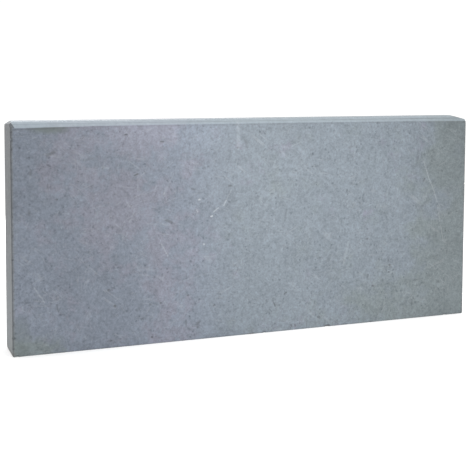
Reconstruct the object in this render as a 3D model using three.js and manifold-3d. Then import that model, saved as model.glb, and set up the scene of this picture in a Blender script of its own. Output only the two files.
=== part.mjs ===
// Bluestone edging: one sawn slab of dark limestone, standing on its long edge.
//
// Millimetres, +Z up. The origin is the middle of the bed that the slab stands on. X runs along
// the length, Y through the thickness, and the show face looks towards -Y.

import * as THREE from 'three';
import { mergeVertices } from 'three/addons/utils/BufferGeometryUtils.js';
import Module from 'manifold-3d';

// ---------------------------------------------------------------- driving dimensions

const length = 450;
const thickness = 35;
const height = 200;

// The bevel along both top arrises, ground in two passes that leave a ridge between them.
const bevelDrop = 4.3; // down the face
const bevelReach = 4.6; // in over the top
const ridgeIn = 1.6; // the ridge, in from the face
const ridgeDown = 1.75; // the ridge, down from the top

const widerLeft = 1.3; // how much further the front bevel reaches down at its left end
const widerRight = 1.0; // and at its right end
const widening = 85; // the length over which it widens

const bedEase = 0.8; // the two long arrises of the bed, rubbed off
const endEase = 1.1; // the arrises around both sawn ends, rubbed off

const left = -length / 2;
const right = length / 2;
const front = -thickness / 2;
const back = thickness / 2;
const topFront = front + bevelReach;
const topBack = back - bevelReach;
const shoulder = height - bevelDrop;
const ridgeFront = front + ridgeIn;
const ridge = height - ridgeDown;

// Corners that handling has worn. Each is a flat cut through three points on the slab's edges.
const wornCorners = [
  // over the top of the left end, deeper towards the back
  [[left + 4.7, back, height], [left + 2.2, topFront, height], [left, back, height - 3.4]],
  // where the front bevel meets the left end
  [[left + 1.8, front, shoulder - 1], [left + 0.3, topFront, height], [left, front, height - 7]],
  // the top of the right end, sloping down to the front
  [[right, topBack, height], [right, topFront, height - 3], [right - 15, topFront, height]],
  // where the front bevel meets the right end
  [[right - 1.4, front, shoulder], [right - 1.2, topFront, height - 2.4], [right, front, height - 7]],
  // the back corner of the right end
  [[right - 5, topBack, height], [right, topBack - 8, height], [right, back, height - 8]],
  // the back corner of the left end's foot
  [[left + 3.5, back, 0], [left, back - 4, 0], [left, back, 5]],
];

// The wheel bit deeper as it ran in and out, so the front bevel widens towards both its ends.
const bevelEnds = [
  [[left, front, shoulder - widerLeft], [left + widening, front, shoulder], [left, ridgeFront, ridge]],
  [[right, front, shoulder - widerRight], [right - widening, front, shoulder], [right, ridgeFront, ridge]],
];

// ---------------------------------------------------------------- chips and pits

// Broken places picked by hand: the height on the left end's front arris, or the place along
// the bed's front arris, then how far the chip runs along it and how deep it bites.
const endArrisChips = [
  [192, 1.6, 1.5], [185.3, 2.2, 1.9], [176.9, 1.7, 1.5], [152, 1.3, 1.3], [120.3, 1.8, 1.6],
  [84, 1.2, 1.3], [28.9, 2.6, 1.8], [16.8, 1.7, 1.7], [7.4, 1.6, 1.5],
];
const bedArrisChips = [
  [-221, 2.6, 2.0], [-152, 1.8, 1.2], [-31, 1.5, 1.1], [72.1, 2.8, 1.9], [118, 1.6, 1.2],
  [204, 2.4, 1.4],
];

// Pits in the show face picked by hand: along, up, half width, half height, depth.
const facePits = [
  [-125.4, 187.7, 1.6, 0.9, 0.45], [-141.5, 51.7, 1.7, 1.1, 0.5], [-136.2, 37, 1.5, 1.3, 0.45],
  [-68.4, 41.5, 1.4, 0.8, 0.4], [-93.9, 36.3, 1.2, 1.2, 0.4], [-43.3, 30.3, 1.3, 0.9, 0.4],
  [-140, 6.6, 1.7, 0.9, 0.5], [-102.4, 6.1, 1.4, 1.0, 0.45], [113.6, 82.3, 1.8, 1.2, 0.5],
  [139.4, 55.1, 1.2, 1.5, 0.45], [138.4, 48.2, 1.3, 1.0, 0.4], [120.7, 35.7, 1.5, 0.9, 0.4],
  [62.5, 10.1, 1.8, 1.2, 0.5], [-186.6, 133.4, 1.3, 0.9, 0.4], [194.6, 34.2, 1.5, 1.1, 0.45],
];

// A small repeatable dice, so that every build breaks the same chips out of the stone.
function dice(seed) {
  let state = seed;
  return (low, high) => {
    state = (Math.imul(state, 1664525) + 1013904223) >>> 0;
    return low + ((high - low) * state) / 4294967296;
  };
}

// A scoop is a lopsided ball that is taken out of the stone: its centre, its three half sizes
// and its turns about X, Y and Z.
function scoopOnArris(place, along, outward, run, bite, roll) {
  const reach = bite * roll(1.3, 1.9);
  const centre = new THREE.Vector3(...place).addScaledVector(outward, reach - bite);
  const halfSizes = [0, 1, 2].map((axis) => (axis === along ? run : reach * roll(0.95, 1.25)));
  const tilt = [0, 1, 2].map(() => roll(-0.3, 0.3));
  return { centre, halfSizes, tilt };
}

function scoopsAlongArris(from, to, outward, count, largest, seed) {
  const roll = dice(seed);
  const start = new THREE.Vector3(...from);
  const end = new THREE.Vector3(...to);
  const along = ['x', 'y', 'z'].findIndex((axis) => start[axis] !== end[axis]);
  const scoops = [];
  for (let n = 0; n < count; n += 1) {
    const place = start.clone().lerp(end, roll(0, 1)).toArray();
    const grade = roll(0, 1) ** 2; // most chips are small
    const run = largest * (0.4 + 0.6 * grade);
    const bite = 1.0 + 0.8 * grade;
    scoops.push(scoopOnArris(place, along, outward, run, bite, roll));
  }
  return scoops;
}

function pitsOnFace(face, towards, count, clear, seed) {
  const roll = dice(seed);
  const pits = [];
  while (pits.length < count) {
    const along = roll(left + 12, right - 12);
    const up = roll(10, height - 14);
    const halfSizes = [roll(0.9, 1.8), roll(0.3, 0.55), roll(0.7, 1.5)];
    const tilt = [0, roll(-1.2, 1.2), 0];
    if (Math.hypot(along, up - height / 2) < clear) continue;
    pits.push({ centre: new THREE.Vector3(along, face + towards * 0.05, up), halfSizes, tilt });
  }
  return pits;
}

function outwards(x, y, z) {
  return new THREE.Vector3(x, y, z).normalize();
}

function allScoops() {
  const frontLeft = outwards(-1, -1, 0);
  const frontFoot = outwards(0, -1, -1);
  const byHand = dice(11);
  const chips = [
    ...endArrisChips.map(([up, run, bite]) =>
      scoopOnArris([left, front, up], 2, frontLeft, run, bite, byHand)),
    ...bedArrisChips.map(([along, run, bite]) =>
      scoopOnArris([along, front, 0], 0, frontFoot, run, bite, byHand)),
    ...scoopsAlongArris([left, front, 40], [left, front, 176], frontLeft, 4, 1.6, 21),
    ...scoopsAlongArris([right, front, 6], [right, front, 186], outwards(1, -1, 0), 3, 1.8, 22),
    ...scoopsAlongArris([left, back, 8], [left, back, 190], outwards(-1, 1, 0), 4, 2.2, 23),
    ...scoopsAlongArris([right, back, 6], [right, back, 188], outwards(1, 1, 0), 7, 2.8, 24),
    ...scoopsAlongArris([-212, front, 0], [196, front, 0], frontFoot, 4, 1.9, 25),
    ...scoopsAlongArris([-218, back, 0], [218, back, 0], outwards(0, 1, -1), 9, 3.4, 26),
    ...scoopsAlongArris([left, -14, 0], [left, 14, 0], outwards(-1, 0, -1), 2, 2.2, 27),
    ...scoopsAlongArris([right, -14, 0], [right, 14, 0], outwards(1, 0, -1), 2, 2.2, 28),
    ...scoopsAlongArris([-205, back, shoulder], [205, back, shoulder], outwards(0, 1, 0.5), 4, 2.4, 29),
  ];
  const pits = [
    ...facePits.map(([along, up, halfWidth, halfHeight, depth]) => ({
      centre: new THREE.Vector3(along, front, up),
      halfSizes: [halfWidth, depth, halfHeight],
      tilt: [0, 0.3, 0],
    })),
    ...pitsOnFace(front, -1, 10, 0, 31),
    ...pitsOnFace(back, 1, 20, 20, 32),
  ];
  return [...chips, ...pits];
}

// ---------------------------------------------------------------- solids

const wasm = await Module();
wasm.setup();

function toSolid(geometry) {
  const bare = geometry.clone();
  bare.deleteAttribute('normal');
  bare.deleteAttribute('uv');
  const merged = mergeVertices(bare, 1e-4);
  return new wasm.Manifold(new wasm.Mesh({
    numProp: 3,
    vertProperties: new Float32Array(merged.attributes.position.array),
    triVerts: new Uint32Array(merged.index.array),
  }));
}

function toGeometry(solid) {
  const mesh = solid.getMesh();
  const geometry = new THREE.BufferGeometry();
  geometry.setAttribute('position', new THREE.BufferAttribute(mesh.vertProperties, 3));
  geometry.setIndex(new THREE.BufferAttribute(mesh.triVerts, 1));
  geometry.computeVertexNormals();
  return geometry;
}

// The slab as it leaves the saw and the bevel wheel: its section swept along X.
function sawnSlab() {
  const section = new THREE.Shape([
    [front + bedEase, 0], [back - bedEase, 0], [back, bedEase], [back, shoulder],
    [back - ridgeIn, ridge], [topBack, height], [topFront, height],
    [ridgeFront, ridge], [front, shoulder], [front, bedEase],
  ].map(([y, z]) => new THREE.Vector2(y, z)));
  const geometry = new THREE.ExtrudeGeometry(section, {
    depth: length - 2 * endEase,
    bevelThickness: endEase,
    bevelSize: endEase,
    bevelOffset: -endEase,
    bevelSegments: 1,
  });
  const alongX = new THREE.Matrix4().makeBasis(
    new THREE.Vector3(0, 1, 0), new THREE.Vector3(0, 0, 1), new THREE.Vector3(1, 0, 0));
  return geometry.translate(0, 0, endEase - length / 2).applyMatrix4(alongX);
}

// A block that stands outside the flat cut through three points, away from the slab's middle.
function blockBeyond(points) {
  const [a, b, c] = points.map((point) => new THREE.Vector3(...point));
  const cut = new THREE.Plane().setFromCoplanarPoints(a, b, c);
  if (cut.distanceToPoint(new THREE.Vector3(0, 0, height / 2)) > 0) cut.negate();
  const size = 120;
  const turn = new THREE.Quaternion().setFromUnitVectors(new THREE.Vector3(0, 0, 1), cut.normal);
  const middle = a.clone().add(b).add(c).divideScalar(3).addScaledVector(cut.normal, size / 2);
  return new THREE.BoxGeometry(size, size, size).applyMatrix4(
    new THREE.Matrix4().compose(middle, turn, new THREE.Vector3(1, 1, 1)));
}

function scoopGeometry({ centre, halfSizes, tilt }) {
  const turn = new THREE.Quaternion().setFromEuler(new THREE.Euler(...tilt));
  return new THREE.IcosahedronGeometry(1, 1).applyMatrix4(
    new THREE.Matrix4().compose(centre, turn, new THREE.Vector3(...halfSizes)));
}

function edgingSlab() {
  let solid = toSolid(sawnSlab());
  for (const points of [...wornCorners, ...bevelEnds]) {
    solid = solid.subtract(toSolid(blockBeyond(points)));
  }
  for (const scoop of allScoops()) solid = solid.subtract(toSolid(scoopGeometry(scoop)));
  return toGeometry(solid);
}

// ---------------------------------------------------------------- the part

const bluestone = new THREE.MeshStandardMaterial({ color: '#8a949b', roughness: 0.8, metalness: 0 });

const slab = new THREE.Mesh(edgingSlab(), bluestone);
slab.name = 'edging_slab';

const edging = new THREE.Group();
edging.add(slab);

export default edging;
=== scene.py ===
"""Bluestone edging: the finish of one sawn slab of dark limestone standing on its long edge.

The slab is shaped in millimetres and laid down in metres, in the frame that the CAD part gives.
X runs along the length, Y through the thickness with the show face towards -Y, and Z up.
"""

import functools
import math

import bpy
import numpy as np
from mathutils import Euler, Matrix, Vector, noise


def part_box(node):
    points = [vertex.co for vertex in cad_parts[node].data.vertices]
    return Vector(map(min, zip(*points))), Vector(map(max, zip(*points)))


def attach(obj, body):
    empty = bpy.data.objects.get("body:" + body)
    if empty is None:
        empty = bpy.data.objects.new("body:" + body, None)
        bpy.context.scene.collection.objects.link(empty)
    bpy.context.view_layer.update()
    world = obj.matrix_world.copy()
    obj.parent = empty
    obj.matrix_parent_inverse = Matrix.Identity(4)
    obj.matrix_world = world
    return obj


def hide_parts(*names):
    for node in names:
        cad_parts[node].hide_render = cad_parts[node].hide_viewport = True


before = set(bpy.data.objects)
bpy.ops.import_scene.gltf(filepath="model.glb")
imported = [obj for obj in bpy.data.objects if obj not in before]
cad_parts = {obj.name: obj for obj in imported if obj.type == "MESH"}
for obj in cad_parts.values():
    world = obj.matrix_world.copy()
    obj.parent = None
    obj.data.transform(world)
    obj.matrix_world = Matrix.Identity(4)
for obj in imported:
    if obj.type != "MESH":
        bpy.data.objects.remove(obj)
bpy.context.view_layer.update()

MM = 0.001
ROOT_TWO = math.sqrt(2)

# ---------------------------------------------------------------- the slab's sizes

lowest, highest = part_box("edging_slab")
LEFT, FRONT, FOOT = (value / MM for value in lowest)
RIGHT, BACK, TOP = (value / MM for value in highest)
LENGTH = RIGHT - LEFT
THICKNESS = BACK - FRONT
HEIGHT = TOP - FOOT

# The bevel along both top arrises, ground in two passes that leave a ridge between them.
BEVEL_DROP = 4.3
BEVEL_REACH = 4.6
RIDGE_IN = 1.6
RIDGE_DOWN = 1.75
SHOULDER = TOP - BEVEL_DROP
RIDGE = TOP - RIDGE_DOWN
RIDGE_FRONT = FRONT + RIDGE_IN
TOP_FRONT = FRONT + BEVEL_REACH
TOP_BACK = BACK - BEVEL_REACH

BED_EASE = 0.8
END_EASE = 1.1

# Corners that handling has worn. Each is a flat cut through three points on the slab's edges.
WORN_CORNERS = [
    # over the top of the left end, deeper towards the back
    [(LEFT + 4.7, BACK, TOP), (LEFT + 2.2, TOP_FRONT, TOP), (LEFT, BACK, TOP - 3.4)],
    # where the front bevel meets the left end
    [(LEFT + 1.8, FRONT, SHOULDER - 1), (LEFT + 0.3, TOP_FRONT, TOP), (LEFT, FRONT, TOP - 7)],
    # the top of the right end, sloping down to the front
    [(RIGHT, TOP_BACK, TOP), (RIGHT, TOP_FRONT, TOP - 3), (RIGHT - 15, TOP_FRONT, TOP)],
    # where the front bevel meets the right end
    [(RIGHT - 1.4, FRONT, SHOULDER), (RIGHT - 1.2, TOP_FRONT, TOP - 2.4), (RIGHT, FRONT, TOP - 7)],
    # the back corner of the right end
    [(RIGHT - 5, TOP_BACK, TOP), (RIGHT, TOP_BACK - 8, TOP), (RIGHT, BACK, TOP - 8)],
    # the back corner of the left end's foot
    [(LEFT + 3.5, BACK, FOOT), (LEFT, BACK - 4, FOOT), (LEFT, BACK, FOOT + 5)],
]
# The wheel bit deeper as it ran in and out, so the front bevel widens towards both its ends.
WIDER_LEFT = 1.3
WIDER_RIGHT = 1.0
WIDENING = 85
BEVEL_ENDS = [
    [
        (LEFT, FRONT, SHOULDER - WIDER_LEFT),
        (LEFT + WIDENING, FRONT, SHOULDER),
        (LEFT, RIDGE_FRONT, RIDGE),
    ],
    [
        (RIGHT, FRONT, SHOULDER - WIDER_RIGHT),
        (RIGHT - WIDENING, FRONT, SHOULDER),
        (RIGHT, RIDGE_FRONT, RIDGE),
    ],
]

# ---------------------------------------------------------------- chips and pits

# Chips listed one by one: the height on the left end's front arris, or the place along the bed's
# front arris, then how far the chip runs along it and how deep it bites.
END_ARRIS_CHIPS = [
    (192, 1.6, 1.5), (185.3, 2.2, 1.9), (176.9, 1.7, 1.5), (152, 1.3, 1.3), (120.3, 1.8, 1.6),
    (84, 1.2, 1.3), (28.9, 2.6, 1.8), (16.8, 1.7, 1.7), (7.4, 1.6, 1.5),
]
BED_ARRIS_CHIPS = [
    (-221, 2.6, 2.0), (-152, 1.8, 1.2), (-31, 1.5, 1.1), (72.1, 2.8, 1.9), (118, 1.6, 1.2),
    (204, 2.4, 1.4),
]

# Pits in the show face, listed one by one: along, up, half width, half height, depth.
FACE_PITS = [
    (-125.4, 187.7, 1.6, 0.9, 0.45), (-141.5, 51.7, 1.7, 1.1, 0.5), (-136.2, 37, 1.5, 1.3, 0.45),
    (-68.4, 41.5, 1.4, 0.8, 0.4), (-93.9, 36.3, 1.2, 1.2, 0.4), (-43.3, 30.3, 1.3, 0.9, 0.4),
    (-140, 6.6, 1.7, 0.9, 0.5), (-102.4, 6.1, 1.4, 1.0, 0.45), (113.6, 82.3, 1.8, 1.2, 0.5),
    (139.4, 55.1, 1.2, 1.5, 0.45), (138.4, 48.2, 1.3, 1.0, 0.4), (120.7, 35.7, 1.5, 0.9, 0.4),
    (62.5, 10.1, 1.8, 1.2, 0.5), (-186.6, 133.4, 1.3, 0.9, 0.4), (194.6, 34.2, 1.5, 1.1, 0.45),
]


def dice(seed):
    """A small repeatable dice that throws the same chips as the solid has."""
    state = seed

    def roll(low, high):
        nonlocal state
        state = (state * 1664525 + 1013904223) % 4294967296
        return low + (high - low) * state / 4294967296

    return roll


class Scoop:
    """A lopsided ball taken out of the stone: its centre, three half sizes and turns."""

    def __init__(self, centre, half_sizes, tilt):
        self.centre = np.array(centre, float)
        self.reach = max(half_sizes)
        self.size = sorted(half_sizes)[1]
        turn = np.array(Euler(tilt, "ZYX").to_matrix())
        self.to_ball = (turn / np.array(half_sizes)).T

    def entry(self, starts, rays):
        """How far along each ray the ball begins, or infinity where the ray misses it."""
        offset = (starts - self.centre) @ self.to_ball.T
        step = rays @ self.to_ball.T
        stretch = (step * step).sum(1)
        approach = (offset * step).sum(1)
        outside = (offset * offset).sum(1) - 1
        under_root = approach * approach - stretch * outside
        distance = np.full(len(rays), np.inf)
        hits = under_root > 0
        distance[hits] = (-approach[hits] - np.sqrt(under_root[hits])) / stretch[hits]
        return distance

    def away(self, points):
        """Roughly how far points lie outside the ball."""
        return (np.linalg.norm((points - self.centre) @ self.to_ball.T, axis=1) - 1) * self.size


def scoop_on_arris(place, along, outward, run, bite, roll):
    """A chip that bites a given depth into an arris and runs a given way along it."""
    reach = bite * roll(1.3, 1.9)
    centre = np.array(place, float) + np.array(outward) * (reach - bite)
    half_sizes = [run if axis == along else reach * roll(0.95, 1.25) for axis in range(3)]
    tilt = [roll(-0.3, 0.3) for _ in range(3)]
    return Scoop(centre, half_sizes, tilt)


def scoops_along_arris(start, end, outward, count, largest, seed):
    """Chips thrown by the dice along an arris."""
    roll = dice(seed)
    start, end = np.array(start, float), np.array(end, float)
    along = int(np.argmax(start != end))
    scoops = []
    for _ in range(count):
        place = start + (end - start) * roll(0, 1)
        grade = roll(0, 1) ** 2  # most chips are small
        run = largest * (0.4 + 0.6 * grade)
        bite = 1.0 + 0.8 * grade
        scoops.append(scoop_on_arris(place, along, outward, run, bite, roll))
    return scoops


def pits_on_face(face, towards, count, clear, seed):
    """Pits thrown by the dice over a face, none of them within clear of its middle."""
    roll = dice(seed)
    pits = []
    while len(pits) < count:
        along = roll(LEFT + 12, RIGHT - 12)
        up = roll(10, TOP - 14)
        half_sizes = [roll(0.9, 1.8), roll(0.3, 0.55), roll(0.7, 1.5)]
        tilt = (0, roll(-1.2, 1.2), 0)
        if math.hypot(along, up - TOP / 2) < clear:
            continue
        pits.append(Scoop((along, face + towards * 0.05, up), half_sizes, tilt))
    return pits


def outwards(x, y, z):
    """A direction of length one."""
    return np.array([x, y, z]) / math.sqrt(x * x + y * y + z * z)


def solid_scoops():
    """The chips and pits that the solid has, in the same order and places."""
    front_left = outwards(-1, -1, 0)
    front_foot = outwards(0, -1, -1)
    by_hand = dice(11)
    chips = [
        scoop_on_arris((LEFT, FRONT, up), 2, front_left, run, bite, by_hand)
        for up, run, bite in END_ARRIS_CHIPS
    ]
    chips += [
        scoop_on_arris((along, FRONT, FOOT), 0, front_foot, run, bite, by_hand)
        for along, run, bite in BED_ARRIS_CHIPS
    ]
    arrises = [
        ((LEFT, FRONT, 40), (LEFT, FRONT, 176), (-1, -1, 0), 4, 1.6, 21),
        ((RIGHT, FRONT, 6), (RIGHT, FRONT, 186), (1, -1, 0), 3, 1.8, 22),
        ((LEFT, BACK, 8), (LEFT, BACK, 190), (-1, 1, 0), 4, 2.2, 23),
        ((RIGHT, BACK, 6), (RIGHT, BACK, 188), (1, 1, 0), 7, 2.8, 24),
        ((-212, FRONT, FOOT), (196, FRONT, FOOT), (0, -1, -1), 4, 1.9, 25),
        ((-218, BACK, FOOT), (218, BACK, FOOT), (0, 1, -1), 9, 3.4, 26),
        ((LEFT, -14, FOOT), (LEFT, 14, FOOT), (-1, 0, -1), 2, 2.2, 27),
        ((RIGHT, -14, FOOT), (RIGHT, 14, FOOT), (1, 0, -1), 2, 2.2, 28),
        ((-205, BACK, SHOULDER), (205, BACK, SHOULDER), (0, 1, 0.5), 4, 2.4, 29),
    ]
    for start, end, outward, count, largest, seed in arrises:
        chips += scoops_along_arris(start, end, outwards(*outward), count, largest, seed)
    pits = [
        Scoop((along, FRONT, up), (half_width, depth, half_height), (0, 0.3, 0))
        for along, up, half_width, half_height, depth in FACE_PITS
    ]
    pits += pits_on_face(FRONT, -1, 10, 0, 31)
    pits += pits_on_face(BACK, 1, 20, 20, 32)
    return chips + pits


# ---------------------------------------------------------------- the surface of the slab

INNER_INSET = 6.0  # rays start on a box this far inside the slab, and fan out round its edges
ARRIS_SOFTNESS = 0.16  # how gently one flat turns into the next
LOWEST_FACING = 0.02  # a flat that a ray meets at less than this slant doesn't stop it
FAR_OFF = 1e3
DEEPEST_CHIP = 2.5
CHIP_MARGIN = 4  # how far outside a chip's reach its effect is still looked for

# The slight swell that the saw leaves: its two wave lengths, the share of the second, its height,
# how far below the face it starts, and how far above the bed it reaches its full size.
LONG_SWELL = 70
SHORT_SWELL = 23
SHORT_SHARE = 0.5
SWELL_HEIGHT = 0.05
SWELL_SINK = 0.06
SWELL_GROWN = 3


def flat_through(corner):
    """The flat through three points, facing away from the slab's middle."""
    a, b, c = (np.array(point, float) for point in corner)
    normal = np.cross(b - a, c - a)
    normal /= np.linalg.norm(normal)
    if (np.array([0, 0, (TOP + FOOT) / 2]) - a) @ normal > 0:
        normal = -normal
    return normal, a @ normal


def flats():
    """Every flat of the slab as an outward normal and its distance from the origin."""
    section = [((-1, 0), -FRONT), ((1, 0), BACK), ((0, -1), -FOOT), ((0, 1), TOP)]
    for side, face in ((-1, -FRONT), (1, BACK)):
        lower = np.array([BEVEL_DROP - RIDGE_DOWN, RIDGE_IN])
        upper = np.array([RIDGE_DOWN, BEVEL_REACH - RIDGE_IN])
        for run in (lower, upper):
            out, up = run / np.hypot(*run)
            ridge = out * (face - RIDGE_IN) + up * (TOP - RIDGE_DOWN)
            section.append(((side * out, up), ridge))
        section.append(((side, -1), face - FOOT - BED_EASE))
    sides = []
    for (y, z), distance in section:
        size = math.hypot(y, z)
        sides.append((y / size, z / size, distance / size))
    found = [((0, y, z), distance) for y, z, distance in sides]
    for side, end in ((-1, -LEFT), (1, RIGHT)):
        found.append(((side, 0, 0), end))
        for y, z, distance in sides:
            normal = (side / ROOT_TWO, y / ROOT_TWO, z / ROOT_TWO)
            found.append((normal, (end + distance - END_EASE) / ROOT_TWO))
    found += [flat_through(corner) for corner in WORN_CORNERS + BEVEL_ENDS]
    normals, distances = zip(*found)
    return np.array(normals), np.array(distances)


def slab_surface(points, scoops):
    """Moves points of the plain box onto the real slab, along rays that leave its middle."""
    low = np.array([LEFT, FRONT, FOOT]) + INNER_INSET
    high = np.array([RIGHT, BACK, TOP]) - INNER_INSET
    starts = np.clip(points, low, high)
    rays = points - starts
    rays /= np.linalg.norm(rays, axis=1)[:, None]
    normals, distances = flats()
    facing = rays @ normals.T
    gaps = distances - starts @ normals.T
    reach = np.where(facing > LOWEST_FACING, gaps / np.maximum(facing, LOWEST_FACING), FAR_OFF)
    nearest = reach.min(1)
    blend = np.exp(-(reach - nearest[:, None]) / ARRIS_SOFTNESS).sum(1)
    length = nearest - ARRIS_SOFTNESS * np.log(blend)
    up = starts[:, 2] + rays[:, 2] * length
    length += np.clip(up, 0, SWELL_GROWN) / SWELL_GROWN * swell(starts + rays * length[:, None])
    for scoop in scoops:
        close = np.abs(points - scoop.centre).max(1) < scoop.reach + CHIP_MARGIN
        if close.any():
            whole = length[close]
            entry = scoop.entry(starts[close], rays[close])
            length[close] = np.minimum(whole, np.maximum(entry, whole - DEEPEST_CHIP))
    return starts + rays * length[:, None]


def swell(points):
    """How far the saw's swell moves each point out, which is never proud of the face."""
    heights = []
    for point in points:
        long = noise.noise(Vector(point) / LONG_SWELL)
        short = noise.noise(Vector(point) / SHORT_SWELL)
        heights.append(long + SHORT_SHARE * short)
    return SWELL_HEIGHT * np.array(heights) - SWELL_SINK


# ---------------------------------------------------------------- the slab's mesh

COARSEST = 5.0
HALVINGS = 4
UNIT = COARSEST / 2**HALVINGS
ARRIS_WIDTH = 2.0  # cells stay at their narrowest this far from an eased arris
CUT_CELL = 0.65  # largest cell along the edges of a worn corner
CUT_WIDTH = 0.8  # cells stay that small this far from its flat
CHIP_GROWTH = 0.8  # how fast cells grow with the distance from a chip
ARRIS_GROWTH = 0.5  # and with the distance from an arris
ALLOWED_EXCESS = 1.001


def wanted_sizes(points, axes, scoops):
    """How long a mesh cell may be along each of two axes: short across arrises and near chips."""
    to_edge = np.minimum(points - [LEFT, FRONT, FOOT], [RIGHT, BACK, TOP] - points)
    on_bevel = np.maximum(to_edge[:, 1], TOP - points[:, 2]) < BEVEL_DROP + ARRIS_WIDTH
    limit = np.full(len(points), COARSEST)
    for corner in WORN_CORNERS:
        normal, distance = flat_through(corner)
        away = abs(points @ normal - distance)
        limit = np.minimum(limit, np.maximum(CUT_CELL, away - CUT_WIDTH))
    for scoop in scoops:
        limit = np.minimum(limit, np.maximum(UNIT, CHIP_GROWTH * scoop.away(points)))
    sizes = []
    for axis in axes:
        across = to_edge[:, axis] - ARRIS_WIDTH
        if axis != 0:  # the bevels run along X
            across = np.where(on_bevel, 0, across)
        sizes.append(np.minimum(limit, np.maximum(UNIT, ARRIS_GROWTH * across)))
    return sizes


def box_cells(scoops):
    """Cells over the six sides of the plain box, halved each way until they are small enough.

    A cell is its side of the box, its corner and its two lengths, in lattice units.
    """
    counts = [round(size / COARSEST) for size in (LENGTH, THICKNESS, HEIGHT)]
    whole = 2**HALVINGS
    origin = np.array([LEFT, FRONT, FOOT])
    cells = []
    for axis in range(3):
        sides = [(axis + 1) % 3, (axis + 2) % 3]
        for far in (False, True):
            grid = np.mgrid[0 : counts[sides[0]], 0 : counts[sides[1]]].reshape(2, -1).T * whole
            corners = np.zeros((len(grid), 3), int)
            corners[:, sides] = grid
            corners[:, axis] = counts[axis] * whole if far else 0
            lengths = np.full((len(grid), 2), whole)
            while len(corners):
                middles = corners.astype(float)
                middles[:, sides] += lengths / 2
                wanted = np.stack(wanted_sizes(origin + middles * UNIT, sides, scoops), 1)
                excess = np.where(lengths > 1, lengths * UNIT / wanted, 0)
                done = excess.max(1) <= ALLOWED_EXCESS
                kept = zip(corners[done].tolist(), lengths[done].tolist())
                cells += [(axis, far, tuple(corner), tuple(pair)) for corner, pair in kept]
                corners, lengths, excess = corners[~done], lengths[~done], excess[~done]
                rows = np.arange(len(corners))
                way = excess.argmax(1)
                lengths[rows, way] //= 2
                second = corners.copy()
                second[rows, np.array(sides)[way]] += lengths[rows, way]
                corners = np.concatenate([corners, second])
                lengths = np.concatenate([lengths, lengths])
    return cells


def slab_mesh(name):
    """The slab as one closed mesh, finer where its shape is finer."""
    scoops = solid_scoops()
    cells = box_cells(scoops)
    places = {}

    def corners_of(axis, far, corner, lengths):
        u, v = (axis + 1) % 3, (axis + 2) % 3
        loop = []
        for step_u, step_v in ((0, 0), (lengths[0], 0), lengths, (0, lengths[1])):
            place = list(corner)
            place[u] += step_u
            place[v] += step_v
            loop.append(tuple(place))
        return loop if far else loop[::-1]

    loops = [corners_of(*cell) for cell in cells]
    for loop in loops:
        for place in loop:
            places.setdefault(place, len(places))

    def along_side(a, b):
        """The lattice places from a up to b, without b, where smaller cells meet the side."""
        middle = tuple((p + q) // 2 for p, q in zip(a, b))
        if middle == a or middle == b or middle not in places:
            return [a]
        return along_side(a, middle) + along_side(middle, b)

    lattice = list(places)
    faces = []
    for loop in loops:
        rim = []
        for n in range(4):
            rim += along_side(loop[n], loop[(n + 1) % 4])
        if len(rim) == 4:
            a, b, c, d = (places[place] for place in rim)
            faces += [(a, b, c), (a, c, d)]
            continue
        hub = len(lattice)
        lattice.append(tuple((p + q) / 2 for p, q in zip(loop[0], loop[2])))
        for n, place in enumerate(rim):
            faces.append((hub, places[place], places[rim[(n + 1) % len(rim)]]))

    points = np.array(lattice, float) * UNIT + np.array([LEFT, FRONT, FOOT])
    surface = slab_surface(points, scoops)
    mesh = bpy.data.meshes.new(name)
    mesh.from_pydata((surface * MM).tolist(), [], faces)
    mesh.shade_smooth()
    mesh.validate()
    return mesh


# ---------------------------------------------------------------- shader expressions


class Value:
    """A shader socket that Python's own operators work on."""

    def __init__(self, finish, socket):
        self.finish = finish
        self.socket = socket

    def math(self, operation, *others):
        sockets = dict(enumerate([self, *others]))
        return self.finish.node("ShaderNodeMath", {"operation": operation}, sockets)

    def __add__(self, other):
        return self.math("ADD", other)

    def __radd__(self, other):
        return self.math("ADD", other)

    def __sub__(self, other):
        return self.math("SUBTRACT", other)

    def __rsub__(self, other):
        return self.finish.number(other).math("SUBTRACT", self)

    def __mul__(self, other):
        return self.math("MULTIPLY", other)

    def __rmul__(self, other):
        return self.math("MULTIPLY", other)

    def __truediv__(self, other):
        return self.math("DIVIDE", other)

    def __rtruediv__(self, other):
        return self.finish.number(other).math("DIVIDE", self)

    def __pow__(self, other):
        return self.math("POWER", other)

    def __rpow__(self, other):
        return self.finish.number(other).math("POWER", self)

    def __abs__(self):
        return self.math("ABSOLUTE")

    def least(self, other):
        return self.math("MINIMUM", other)

    def most(self, other):
        return self.math("MAXIMUM", other)

    def rise(self, low, high):
        """0 below low, 1 above high, with a smooth rise between. low may be the larger."""
        settings = {"interpolation_type": "SMOOTHSTEP"}
        if low < high:
            sockets = {0: self, 1: low, 2: high, 3: 0.0, 4: 1.0}
        else:
            sockets = {0: self, 1: high, 2: low, 3: 1.0, 4: 0.0}
        return self.finish.node("ShaderNodeMapRange", settings, sockets)


def strongest(values):
    """The largest of several values at each point of the surface."""
    return functools.reduce(Value.most, values)


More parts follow.
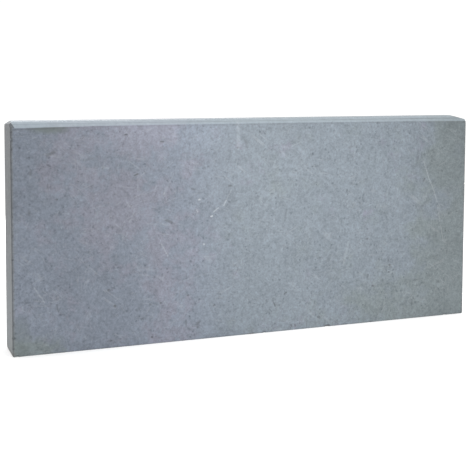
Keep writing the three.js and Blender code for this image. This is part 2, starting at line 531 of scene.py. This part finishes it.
class Finish:
    """One material, whose nodes are made by node() and by the operators of Value."""

    def __init__(self, name):
        self.material = bpy.data.materials.new(name)
        self.material.use_nodes = True
        self.tree = self.material.node_tree
        self.shader = self.tree.nodes["Principled BSDF"]

    def node(self, kind, settings=None, sockets=None, output=0):
        made = self.tree.nodes.new(kind)
        for name, value in (settings or {}).items():
            setattr(made, name, value)
        for name, value in (sockets or {}).items():
            if isinstance(value, Value):
                self.tree.links.new(value.socket, made.inputs[name])
            else:
                made.inputs[name].default_value = value
        return Value(self, made.outputs[output])

    def number(self, value):
        return self.node("ShaderNodeMath", {"operation": "ADD"}, {0: value, 1: 0.0})

    def vector(self, operation, first, second):
        sockets = {0: first, 1: second}
        return self.node("ShaderNodeVectorMath", {"operation": operation}, sockets)

    def scaled(self, vector, factor):
        """A vector or a colour made larger or brighter by a factor."""
        sockets = {0: vector, "Scale": factor}
        return self.node("ShaderNodeVectorMath", {"operation": "SCALE"}, sockets)

    def measure(self, operation, first, second):
        """A number from two vectors, such as their dot product or the distance between them."""
        sockets = {0: first, 1: second}
        return self.node("ShaderNodeVectorMath", {"operation": operation}, sockets, output=1)

    def parts(self, vector):
        """The three parts of a vector or a colour."""
        first = self.node("ShaderNodeSeparateXYZ", sockets={0: vector})
        return [self.beside(first, name) for name in "XYZ"]

    def beside(self, value, name):
        """Another output of the node that a value comes from."""
        return Value(self, value.socket.node.outputs[name])

    def mix(self, first, second, factor):
        """From the first colour to the second as factor goes from 0 to 1."""
        settings = {"data_type": "RGBA"}
        return self.node("ShaderNodeMix", settings, {0: factor, 6: first, 7: second}, output=2)

    def cloud(self, place, size, detail=2.0, roughness=0.5, output=0):
        """Soft noise around 0.5, with features about as wide as size in millimetres."""
        sockets = {"Vector": place, "Scale": 1 / size, "Detail": detail, "Roughness": roughness}
        return self.node("ShaderNodeTexNoise", sockets=sockets, output=output)

    def nudged(self, place, size, reach):
        """The place pushed about by up to half of reach, so that shapes get uneven rims."""
        push = self.vector("SUBTRACT", self.cloud(place, size, output=1), (0.5, 0.5, 0.5))
        return self.vector("ADD", place, self.scaled(push, reach))

    def elsewhere(self, place, number):
        """The place far off in the noise, by a numbered stretch, so that clouds don't coincide."""
        return self.vector("ADD", place, (number * 37.0, number * 11.0, number * 23.0))

    def turned(self, place, degrees):
        """The place turned about Y."""
        sockets = {"Vector": place, "Rotation": (0.0, math.radians(degrees), 0.0)}
        return self.node("ShaderNodeMapping", {"vector_type": "POINT"}, sockets)

    def feed(self, name, value):
        """Gives an input of the shader a value that changes over the surface, or a constant."""
        if isinstance(value, Value):
            self.tree.links.new(value.socket, self.shader.inputs[name])
        else:
            self.shader.inputs[name].default_value = value


def shade(red, green, blue):
    """A shader colour from the 0 to 255 numbers that a paint chart gives."""

    def linear(level):
        share = level / 255
        return share / 12.92 if share <= 0.04045 else ((share + 0.055) / 1.055) ** 2.4

    return (linear(red), linear(green), linear(blue), 1.0)


# ---------------------------------------------------------------- bluestone

# The stone's own colours.
TEAL_GREY = shade(109, 118, 126)
BLUE_GREY = shade(107, 115, 127)
VIOLET_GREY = shade(113, 116, 128)
GROUND_GREY = shade(110, 118, 123)
GREEN_GREY = shade(106, 115, 118)
SAWN_GREY = shade(110, 114, 116)
DUST_GREY = shade(165, 169, 173)
# Dark grey for dirt, and for the painted shade along the bed's arris.
DIRT_AND_SHADE_GREY = shade(74, 77, 81)
MOSS_GREY = shade(86, 95, 92)
CLAY_GREY = shade(100, 97, 92)

# Hairline scratches run in these directions, in degrees, and are noise stretched this much.
HAIRLINE_TURNS = (24, -38, 63, 81, -12)
HAIRLINE_STRETCH = (1 / 28, 1 / 9, 1 / 3)

# Strokes on the show face, each from along and up, to along and up, half width, and then how
# strongly it shows. The pale ones are scratches, spots and smears.
PALE_MARKS = [
    (-58.1, 127.5, -57.3, 127.7, 1.2, 0.8),
    (-53.3, 87.2, -52.7, 87.2, 1.1, 0.7),
    (-60.0, 118.4, -59.4, 117.0, 1.1, 0.5),
    (-46.2, 112.2, -45.4, 112.6, 1.0, 0.85),
    (-44.0, 116.0, -39.5, 119.6, 0.9, 0.42),
    (-33.9, 121.8, -32.0, 126.0, 1.0, 0.5),
    (-32.0, 126.0, -26.8, 135.5, 0.8, 0.2),
    (-93.8, 90.5, -87.3, 78.4, 0.9, 0.26),
    (-206.0, 58.3, -197.6, 45.5, 1.0, 0.24),
    (176.0, 156.2, 178.2, 150.2, 1.1, 0.18),
    (178.6, 149.0, 184.4, 133.6, 0.9, 0.28),
    (185.6, 132.6, 187.5, 128.0, 0.9, 0.28),
    (188.0, 126.9, 192.4, 114.8, 0.9, 0.28),
    (192.9, 110.8, 196.0, 95.6, 0.8, 0.24),
    (194.4, 112.7, 195.6, 104.7, 0.8, 0.18),
    (197.0, 91.0, 199.9, 76.3, 0.8, 0.2),
    (94.0, 80.5, 88.8, 59.5, 1.8, 0.16),
    (-20.4, 199.0, -20.2, 173.5, 2.5, 0.17),
    (-82.0, 152.0, -91.0, 134.0, 1.0, 0.12),
    (-80.0, 53.5, -48.0, 60.5, 0.8, 0.1),
]
# The dark ones are flecks of fossil, the rims of shells and hollows that hold dirt.
DARK_FLECKS = [
    (-29.2, 139.0, -26.4, 139.4, 1.3, 0.8),
    (176.4, 136.8, 177.4, 138.6, 1.6, 0.8),
    (27.0, 35.2, 28.6, 36.6, 1.2, 0.95),
    (-89.0, 110.6, -84.0, 108.6, 1.9, 0.61),
    (-59.0, 11.0, -58.8, 11.8, 1.5, 0.72),
    (-117.8, 151.6, -115.2, 152.9, 1.2, 0.95),
    (15.4, 28.2, 17.6, 24.6, 1.1, 0.9),
    (-93.8, 180.8, -91.4, 181.0, 1.3, 0.8),
    (114.8, 44.4, 115.4, 47.4, 1.5, 0.64),
    (-208.6, 155.2, -208.2, 158.8, 1.5, 0.56),
    (-65.0, 138.2, -62.0, 137.4, 1.3, 0.64),
    (91.2, 129.6, 91.6, 130.4, 1.3, 0.9),
    (-187.0, 42.4, -186.0, 36.4, 1.2, 0.56),
    (28.2, 114.5, 26.8, 105.0, 1.3, 0.4),
    (-13.0, 180.0, -11.5, 174.8, 2.2, 0.4),
    (71.4, 63.6, 74.0, 69.0, 2.4, 0.3),
    (169.4, 159.0, 169.8, 166.0, 2.0, 0.4),
    (-194.0, 171.6, -188.6, 173.8, 2.2, 0.55),
    (-70.3, 18.7, -69.9, 13.9, 1.2, 0.6),
    (-69.0, 11.6, -64.6, 9.0, 1.2, 0.3),
    (-60.4, 13.8, -57.0, 16.4, 1.4, 0.55),
    (-63.9, 12.5, -59.8, 12.1, 0.9, 0.35),
    (15.2, 31.8, 15.2, 29.4, 1.0, 0.55),
    (21.6, 25.4, 21.9, 24.6, 1.1, 0.5),
    (11.4, 22.0, 14.0, 20.1, 1.1, 0.5),
    (8.4, 30.4, 8.8, 29.4, 1.3, 0.5),
    (127.4, 62.2, 127.6, 61.2, 1.3, 0.5),
    (137.7, 60.2, 138.6, 58.6, 1.2, 0.6),
    (135.4, 50.9, 135.8, 49.8, 1.1, 0.5),
    (166.0, 37.8, 176.3, 39.2, 1.0, 0.5),
    (167.3, 32.7, 174.2, 32.7, 1.0, 0.4),
    (183.5, 44.6, 185.0, 40.5, 0.8, 0.35),
    (188.3, 42.8, 187.9, 39.3, 0.8, 0.35),
    (194.4, 28.6, 195.8, 27.7, 1.4, 0.55),
    (201.2, 27.1, 202.2, 26.0, 1.4, 0.5),
    (201.8, 21.5, 203.0, 20.2, 1.5, 0.4),
    (165.3, 18.9, 165.4, 12.3, 1.1, 0.45),
    (166.3, 21.5, 166.6, 20.1, 1.1, 0.5),
    (131.5, 14.8, 131.7, 13.7, 1.4, 0.4),
    (205.0, 66.3, 204.3, 62.7, 1.0, 0.6),
    (210.1, 49.8, 212.5, 48.6, 1.5, 0.45),
    (218.9, 47.8, 219.7, 46.5, 1.4, 0.4),
    (-162.7, 166.2, -155.7, 167.3, 1.4, 0.35),
    (-194.1, 146.5, -194.0, 143.1, 1.2, 0.4),
    (-210.3, 125.9, -209.7, 120.8, 1.4, 0.4),
    (-170.2, 131.0, -169.6, 128.2, 1.3, 0.35),
    (34.2, 5.2, 34.6, 4.2, 1.4, 0.75),
    (38.2, 4.9, 38.6, 3.9, 1.4, 0.75),
    (70.2, 0.6, 73.6, 0.8, 1.9, 1.0),
    (-9.6, 0.3, -5.0, 0.6, 1.6, 1.0),
]
PIT_DIRT = 0.85  # how strongly the dirt in a pit shows

# Where moss has stained the show face: centre along and up, half width, half height, strength.
MOSS_STAINS = [
    (-193.0, 194.5, 20.0, 6.0, 0.75),
    (LEFT + 6.0, 15.0, 11.0, 24.0, 0.4),
]

# The bevel's left end runs out along a mitre, this far along for each unit down.
MITRE_SLOPE = 0.66


class Place:
    """Where a point lies on the slab, in millimetres, and which of its surfaces that is."""

    def __init__(self, finish):
        coordinates = finish.node("ShaderNodeTexCoord", output=3)
        self.point = finish.scaled(coordinates, 1 / MM)
        self.x, self.y, self.z = finish.parts(self.point)
        self.from_left = self.x - LEFT
        self.from_right = RIGHT - self.x
        self.from_front = self.y - FRONT
        self.from_top = TOP - self.z
        self.from_foot = self.z - FOOT
        self.from_face = self.from_front.least(BACK - self.y)
        self.from_end = self.from_left.least(self.from_right)
        # Each on_ value is 1 on the surface that it names and 0 off it.
        self.on_front = self.from_front.rise(2.8, 2.0)  # as deep as its chips
        self.on_end = self.from_end.rise(0.9, 0.35)
        wider = self.from_left.rise(WIDENING, 0) * WIDER_LEFT
        wider = wider + self.from_right.rise(WIDENING, 0) * WIDER_RIGHT
        self.wider = wider * self.y.rise(1, -1)
        self.on_bevel = line_between(self.from_face, self.from_top, self.wider + BEVEL_DROP)
        self.on_arris = line_between(self.from_face, self.from_end, END_EASE)
        self.on_foot_line = line_between(self.from_face, self.from_foot, BED_EASE)
        self.past_mitre = self.from_left - self.from_top * MITRE_SLOPE
        on_top = self.on_bevel.most(self.from_top.rise(0.6, 0.3))
        self.on_ground = on_top * (1 - self.on_end) * self.past_mitre.rise(-0.3, 0.3)
        # Damp rose from the bed here, low on the left.
        self.damp = abs(self.x + 150).rise(70, 15) * self.z.rise(125, 60)


def line_between(first, second, width):
    """The eased strip between two sides, from how far a point is from each."""
    return first.least(second).rise(0.12, 0.35) * (first.most(second) - width).rise(0.7, 0.2)


def near_line(place, inward, down, width):
    """A strip around the line that runs along X, in from the nearer face and down from the top."""
    away_in = place.from_face - inward
    away_down = place.from_top - down
    return ((away_in * away_in + away_down * away_down) ** 0.5).rise(width, width * 0.35)


def on_flat(stone, place, corner):
    """The flat where one corner has worn away."""
    normal, distance = flat_through(corner)
    over = stone.measure("DOT_PRODUCT", place.point, tuple(normal)) - distance
    return over.rise(-0.45, -0.15)


def body_colour(stone, place):
    """Blue-grey, clouded with violet left of the middle and with green towards the right end."""
    leftness = place.x.rise(0, -90)
    colour = stone.mix(TEAL_GREY, BLUE_GREY, leftness)
    clouds = stone.cloud(place.point, 30, detail=4.0, roughness=0.75)
    violet_bias = place.x.rise(-40, -100) * place.x.rise(-240, -140) * (1 - place.damp * 0.8)
    violet = (clouds + violet_bias * 0.24).rise(0.58, 0.76)
    colour = stone.mix(colour, VIOLET_GREY, violet)
    clouds = stone.cloud(stone.elsewhere(place.point, 8), 30, detail=4.0, roughness=0.7)
    wandering_x = place.x + (stone.cloud(place.point, 40, detail=3.0, roughness=0.6) - 0.5) * 110
    green_bias = wandering_x.rise(150, 205) * 0.34
    green_bias = green_bias + wandering_x.rise(30, 150) * place.z.rise(90, 20) * 0.28
    green_bias = green_bias + wandering_x.rise(-140, -210) * place.from_foot.rise(34, 4) * 0.6
    green = (clouds + green_bias - leftness * 0.2).rise(0.52, 0.84)
    return stone.mix(colour, GREEN_GREY, green)


def patchiness(stone, place, grain):
    """How much paler or darker than its colour the stone is, from broad patches to fine grain."""
    patches = stone.cloud(place.point, 26, detail=2.0, roughness=0.5) - 0.5
    medium = stone.cloud(stone.nudged(place.point, 14.0, 8.0), 11, detail=1.0) - 0.5
    mottle = stone.cloud(stone.nudged(place.point, 5.0, 4.0), 4.4, detail=2.0, roughness=0.6) - 0.5
    flecked = stone.nudged(stone.elsewhere(place.point, 5), 2.4, 3.0)
    dark = stone.cloud(flecked, 2.8, detail=1.0).rise(0.42, 0.28)
    pale = stone.cloud(stone.elsewhere(flecked, 1), 2.6, detail=1.0).rise(0.6, 0.76)
    broad = patches * 0.2 + medium * 0.22
    return broad + mottle * 0.66 + grain * 0.8 - dark * 0.13 + pale * 0.07


def painted_light_and_damp(stone, place):
    """How the face is made darker and paler: painted shade over the upper left and towards the
    right end, darker where damp rose, and painted light near the floor and just below the bevel.
    """
    # Painted shade: the face darker over the upper left and towards the right end.
    painted_shade_upper_left = place.x.rise(-50, -140) * place.z.rise(40, 150)
    painted_shade_right_end = place.from_right.rise(75, 4) * (0.09 + place.z.rise(100, 185) * 0.06)
    # Painted light: the face paler just above the floor, and just below the bevel over the left
    # half.
    painted_light_near_floor = place.z.rise(70, 15)
    painted_light_below_bevel = place.z.rise(165, 190) * place.x.rise(-175, -130) * place.x.rise(-10, -60)
    return 0.96 - painted_shade_upper_left * 0.1 - place.damp * 0.1 - painted_shade_right_end + painted_light_near_floor * 0.045 + painted_light_below_bevel * 0.16


def specks(stone, place, cell, largest, seed):
    """Small spots with uneven rims, at most one in each cell, most of them much smaller."""
    moved = stone.elsewhere(place.point, seed)
    uneven = stone.nudged(stone.nudged(moved, 4.0, 3.0), 0.9, 1.4)
    sockets = {"Vector": uneven, "Scale": 1 / cell}
    distance = stone.node("ShaderNodeTexVoronoi", sockets=sockets)
    chance = stone.parts(stone.beside(distance, "Color"))[0]
    size = (chance * 1.6 - 0.6) * largest
    return (size - distance * cell).rise(0, 0.6)


def hairlines(stone, place):
    """Fine scratches that cross the stone in a few directions, here and there."""
    lines = []
    for n, degrees in enumerate(HAIRLINE_TURNS):
        moved = stone.elsewhere(place.point, 10 + n)
        stretched = stone.vector("MULTIPLY", stone.turned(moved, degrees), HAIRLINE_STRETCH)
        ripple = stone.cloud(stretched, 1.0, detail=0.0)
        line = abs(ripple - 0.5).rise(0.024, 0.004)
        lines.append(line * stone.cloud(moved, 22, detail=1.0).rise(0.5, 0.68))
    return strongest(lines)


def shell_lines(stone, place):
    """The curled rims of small fossils, crowded here and there and commoner low down."""
    moved = stone.elsewhere(place.point, 7)
    curls = stone.cloud(stone.nudged(moved, 9.0, 3.0), 4.6, detail=0.0)
    rims = abs(curls - 0.55).rise(0.03, 0.008)
    bed = stone.cloud(moved, 17, detail=2.0) + place.z.rise(150, 40) * 0.06
    return rims * bed.rise(0.54, 0.68)


def strokes(stone, place, rows):
    """Strokes on the show face with broken, slightly wandering rims."""
    flat = stone.vector("MULTIPLY", stone.nudged(place.point, 4.0, 1.4), (1.0, 0.0, 1.0))
    marks = []
    for start_x, start_z, end_x, end_z, half_width, strength in rows:
        run = Vector((end_x - start_x, 0.0, end_z - start_z))
        over = stone.vector("SUBTRACT", flat, (start_x, 0.0, start_z))
        share = stone.measure("DOT_PRODUCT", over, tuple(run / run.length_squared)).most(0).least(1)
        away = stone.measure("DISTANCE", over, stone.scaled(tuple(run), share))
        marks.append(away.rise(half_width, half_width * 0.25) * strength)
    broken = stone.cloud(place.point, 1.8, detail=1.0).rise(0.3, 0.6)
    return strongest(marks) * (broken * 0.5 + 0.5) * place.on_front


def pit_rows():
    """The pits in the show face as short strokes of dirt."""
    rows = []
    for along, up, half_width, half_height, depth in FACE_PITS:
        run = max(0.1, half_width - half_height)
        rows.append((along - run, up, along + run, up, half_height * 0.9 + 0.3, PIT_DIRT))
    return rows


def stains(stone, place, uneven):
    """Where moss has grown on the show face."""
    moss = []
    for centre_x, centre_z, half_width, half_height, strength in MOSS_STAINS:
        away = ((place.x - centre_x) / half_width) ** 2 + ((place.z - centre_z) / half_height) ** 2
        moss.append((away + uneven * 1.2).rise(1.8, 0.5) * strength)
    return strongest(moss) * place.on_front * (1 - place.on_bevel)


def wheel_streaks(stone, place):
    """Streaks that the saw and the bevel wheel leave, along X on top and upright on the ends."""
    lengthwise = stone.vector("MULTIPLY", place.point, (1 / 110, 1 / 1.3, 1 / 1.3))
    upright = stone.vector("MULTIPLY", place.point, (1 / 1.4, 1 / 1.4, 1 / 120))
    on_top = stone.cloud(lengthwise, 1.0, detail=1.0) - 0.5
    on_ends = stone.cloud(upright, 1.0, detail=1.0) - 0.5
    return on_top, on_ends


def brightness(stone, place, grain, pale_specks, dark_specks):
    """How bright the stone is next to its colour: paler where it was ground and streaked there,
    with painted light on the top and bevel, and painted shade and painted light over the faces.
    """
    top_streaks, end_streaks = wheel_streaks(stone, place)
    uneven = patchiness(stone, place, grain)
    # The ground bevel and top are paler than the faces, most of all at the left end: partly the
    # paler ground finish, partly painted light from above.
    ground_tone_and_top_light = 0.355 + place.x.rise(-10, -215) * 0.27 + top_streaks * 0.2
    ground_tone_and_top_light = ground_tone_and_top_light - place.from_front.rise(16, 30) * 0.25
    # The sawn ends darken upwards, and a narrow strip of face beside them is darker too.
    end_tone = end_streaks * 0.4 - place.z.rise(0, 200) * 0.31 - 0.07
    end_strip = place.from_end.rise(2.6, 1.2) * (1 - place.on_end) * (1 - place.on_ground)
    spots = pale_specks * 0.1 - dark_specks * (1 - place.on_ground * 0.7) * 0.25
    even = uneven * (1 - place.on_ground * 0.5 - place.on_end * 0.3) + spots
    ground = even + ground_tone_and_top_light + 1
    # The faces get their painted shade, painted light and damp from this factor.
    face = (even + place.on_end * end_tone - end_strip * 0.05 + 1) * painted_light_and_damp(stone, place)
    return face + (ground - face) * place.on_ground


def dirt_and_painted_shade(stone, place, uneven):
    """Dark dirt in the arrises, along the ridge of the bevel and just below the bevel, a dark line
    along the mitre at the bevel's left end, and painted shade along the bed's eased arris, which
    faces downwards.
    """
    arris = place.on_arris * (place.z.rise(60, 140) * 0.15 + uneven.rise(0.35, 0.6) * 0.3 + 0.42)
    ridge = near_line(place, RIDGE_IN, RIDGE_DOWN, 0.7) * (place.x.rise(60, 200) * 0.25 + 0.3)
    outer = place.from_left.rise(60, 30) * 0.35 + place.from_right.rise(12, 3) * 0.25
    bevel_foot = near_line(place, 0.0, place.wider + (BEVEL_DROP + 0.7), 0.9)
    bevel_foot = bevel_foot * (outer + uneven.rise(0.35, 0.6) * 0.2)
    mitre = abs(place.past_mitre).rise(0.7, 0.2) * place.on_bevel
    # The line along the bed's eased arris is painted shade, as that strip faces downwards.
    lines = strongest([arris, place.on_foot_line * 0.4, ridge, bevel_foot, mitre])
    return lines * (0.6 + uneven * 0.6)


def bluestone():
    """The finish of the whole slab: its colour, its roughness and its fine relief."""
    stone = Finish("bluestone")
    place = Place(stone)
    grain = stone.cloud(place.point, 1.9, detail=2.0, roughness=0.7) - 0.5
    uneven = stone.cloud(place.point, 7.0, detail=3.0, roughness=0.6)
    crowding = stone.cloud(place.point, 15, detail=2.0) + place.z.rise(150, 40) * 0.06
    pinholes = specks(stone, place, 2.9, 1.15, 4) * (crowding.rise(0.5, 0.64) * 0.8 + 0.2)
    dark_specks = specks(stone, place, 4.2, 1.4, 1).most(specks(stone, place, 9.0, 1.9, 2) * 0.8)
    dark_specks = dark_specks.most(pinholes).most(shell_lines(stone, place) * 0.45)
    pale_specks = specks(stone, place, 6.0, 1.8, 3)
    scratches = hairlines(stone, place)
    worn = strongest([on_flat(stone, place, corner) for corner in WORN_CORNERS])

    colour = body_colour(stone, place)
    neutral = place.from_end.rise(3.0, 1.0) * 0.6
    colour = stone.mix(colour, SAWN_GREY, neutral.most(place.on_end * 0.85).most(worn * 0.7))
    colour = stone.mix(colour, GROUND_GREY, place.on_ground * 0.75)
    colour = stone.scaled(colour, brightness(stone, place, grain, pale_specks, dark_specks))
    colour = stone.mix(colour, DUST_GREY, scratches * 0.15 * (1 - place.on_ground))
    colour = stone.mix(colour, DIRT_AND_SHADE_GREY, strokes(stone, place, DARK_FLECKS + pit_rows()))
    colour = stone.mix(colour, DUST_GREY, strokes(stone, place, PALE_MARKS))
    colour = stone.mix(colour, MOSS_GREY, stains(stone, place, uneven))
    # Dirt, and painted shade along the bed's arris.
    colour = stone.mix(colour, DIRT_AND_SHADE_GREY, dirt_and_painted_shade(stone, place, uneven))
    clay_away = place.from_left.most(place.from_foot * 0.8) + uneven * 6
    colour = stone.mix(colour, CLAY_GREY, clay_away.rise(8, 3) * 0.5)
    stone.feed("Base Color", colour)

    stone.feed("Roughness", 0.62 + grain * 0.3 + dark_specks * 0.12)
    height = grain * 0.5 - dark_specks * 0.7 - scratches * 0.25
    sockets = {"Strength": 0.5, "Distance": 0.12 * MM, "Height": height}
    stone.feed("Normal", stone.node("ShaderNodeBump", sockets=sockets))
    return stone.material


# ---------------------------------------------------------------- the piece


def edging_slab():
    """The slab, which stands for the CAD part's one solid."""
    piece = bpy.data.objects.new("bluestone_slab", slab_mesh("bluestone_slab"))
    bpy.context.collection.objects.link(piece)
    piece.data.materials.append(bluestone())
    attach(piece, "root")
    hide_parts("edging_slab")
    return piece


# ---------------------------------------------------------------- floor, light and camera

FLOOR_WHITE = 0.6  # how much light the floor throws back; it glows a little too, as a light table
FLOOR_GLOW = 0.46
FLOOR_HALF = 6.0
WORLD_LIGHT = 1.06

# The studio's softboxes: name, place, target, size and watts.
SOFTBOXES = [
    ("overhead", (0.0, 0.05, 0.8), (0.0, 0.0, 0.2), (0.9, 0.12), 2.2),
    ("key", (0.03, -0.27, 0.19), (0.035, 0.0, 0.11), (0.18, 0.15), 0.5),
    ("back_fill", (0.0, 0.8, 0.25), (0.0, 0.0, 0.1), (0.7, 0.4), 3.0),
    ("right_fill", (0.9, 0.1, 0.25), (0.225, 0.0, 0.1), (0.3, 0.4), 1.5),
]


def pale_floor():
    """A wide white floor under the slab, which isn't part of it."""
    mesh = bpy.data.meshes.new("floor")
    corners = [(x * FLOOR_HALF, y * FLOOR_HALF, 0) for x, y in ((-1, -1), (1, -1), (1, 1), (-1, 1))]
    mesh.from_pydata(corners, [], [(0, 1, 2, 3)])
    floor = bpy.data.objects.new("floor", mesh)
    bpy.context.collection.objects.link(floor)
    white = Finish("floor_white")
    white.feed("Base Color", (FLOOR_WHITE, FLOOR_WHITE, FLOOR_WHITE, 1.0))
    white.feed("Roughness", 0.9)
    white.feed("Specular IOR Level", 0.0)
    white.feed("Emission Color", (1.0, 1.0, 1.0, 1.0))
    white.feed("Emission Strength", FLOOR_GLOW)
    floor.data.materials.append(white.material)


def softbox(name, place, target, size, power):
    """A flat lamp at a place, turned to its target."""
    data = bpy.data.lights.new(name, "AREA")
    data.shape = "RECTANGLE"
    data.size, data.size_y = size
    data.energy = power
    lamp = bpy.data.objects.new(name, data)
    bpy.context.collection.objects.link(lamp)
    lamp.location = place
    lamp.rotation_euler = (Vector(target) - Vector(place)).to_track_quat("-Z", "Y").to_euler()


def studio_light():
    """White light from all round, and four softboxes."""
    world = bpy.data.worlds.new("studio")
    bpy.context.scene.world = world
    world.use_nodes = True
    background = world.node_tree.nodes["Background"]
    background.inputs["Color"].default_value = (1.0, 1.0, 1.0, 1.0)
    background.inputs["Strength"].default_value = WORLD_LIGHT
    for row in SOFTBOXES:
        softbox(*row)


# The camera stands low, to the left of the slab's middle, and looks slightly down and to the
# right. The picture is shifted so that the slab's uprights stay nearly upright.
CAMERA_PLACE = (-0.3491, -0.8507, 0.24)
CAMERA_TURN = -21.33
CAMERA_DIP = 3.834
CAMERA_ROLL = -0.22
LENS_SHARE = 985.9 / 470  # focal length over picture width
SHIFT_UP = -0.2


def camera():
    data = bpy.data.cameras.new("camera")
    eye = bpy.data.objects.new("camera", data)
    bpy.context.collection.objects.link(eye)
    bpy.context.scene.camera = eye
    eye.location = CAMERA_PLACE
    eye.rotation_mode = "XYZ"
    eye.rotation_euler = (
        math.radians(90 - CAMERA_DIP), math.radians(CAMERA_ROLL), math.radians(CAMERA_TURN)
    )
    data.sensor_width = 36.0
    data.lens = data.sensor_width * LENS_SHARE
    data.shift_y = SHIFT_UP
    data.clip_start = 0.01
    data.clip_end = 50.0


camera()
edging_slab()
pale_floor()
studio_light()
bpy.context.scene.view_settings.view_transform = "Standard"
